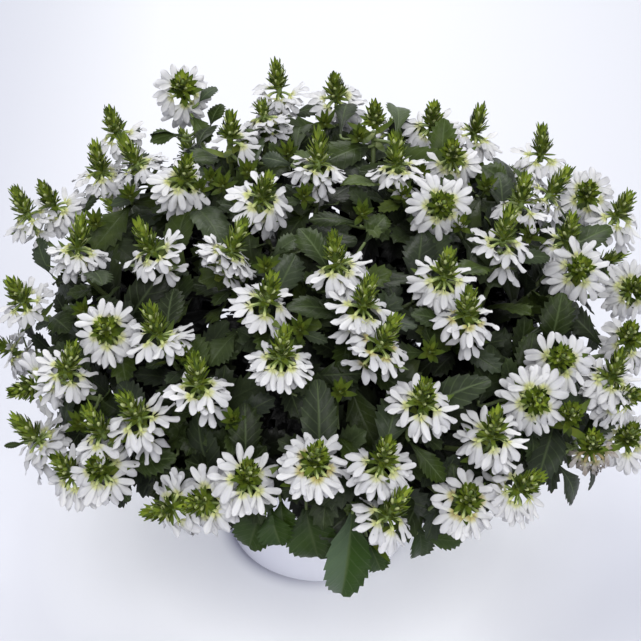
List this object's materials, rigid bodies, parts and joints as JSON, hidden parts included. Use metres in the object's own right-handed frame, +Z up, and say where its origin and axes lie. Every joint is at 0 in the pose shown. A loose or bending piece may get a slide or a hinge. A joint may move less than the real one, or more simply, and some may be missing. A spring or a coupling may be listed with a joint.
{
  "type": "potted fan flower",
  "caption": "Rounded bushy plant in a plain tapered pot, with leafy stems that end in spikes of fan-shaped white flowers below heads of green bracts.",
  "frame": {"origin": "middle of the pot's flat underside", "axes": "+Z up along the pot's axis, -Y towards the front that the picture shows"},
  "size_m": [0.4405, 0.434, 0.3063],
  "materials": {
    "petals": "matte",
    "foliage": "satin",
    "pot": "satin",
    "soil": "rough"
  },
  "bodies": {
    "root": {"bloom_01": "petals", "bloom_02": "petals", "bloom_03": "petals", "bloom_04": "petals", "bloom_05": "petals", "bloom_06": "petals", "bloom_07": "petals", "bloom_08": "petals", "bloom_09": "petals", "bloom_10": "petals", "bloom_11": "petals", "bloom_12": "petals", "bloom_13": "petals", "bloom_14": "petals", "bloom_15": "petals", "bloom_16": "petals", "bloom_17": "petals", "bloom_18": "petals", "bloom_19": "petals", "bloom_20": "petals", "bloom_21": "petals", "bloom_22": "petals", "bloom_23": "petals", "bloom_24": "petals", "bloom_25": "petals", "bloom_26": "petals", "bloom_27": "petals", "bloom_28": "petals", "bloom_29": "petals", "bloom_30": "petals", "bloom_31": "petals", "bloom_32": "petals", "bloom_33": "petals", "bloom_34": "petals", "bloom_35": "petals", "bloom_36": "petals", "bloom_37": "petals", "bloom_38": "petals", "bloom_39": "petals", "bloom_40": "petals", "bloom_41": "petals", "bloom_42": "petals", "bloom_43": "petals", "bloom_44": "petals", "bloom_45": "petals", "bloom_46": "petals", "bloom_47": "petals", "bloom_48": "petals", "bloom_49": "petals", "bloom_50": "petals", "leafy_stem_1": "foliage", "leafy_stem_2": "foliage", "leafy_stem_3": "foliage", "leafy_stem_4": "foliage", "leafy_stem_5": "foliage", "leafy_stem_6": "foliage", "leafy_stem_7": "foliage", "leafy_stem_8": "foliage", "pot": "pot", "soil": "soil"}
  },
  "joints": []
}
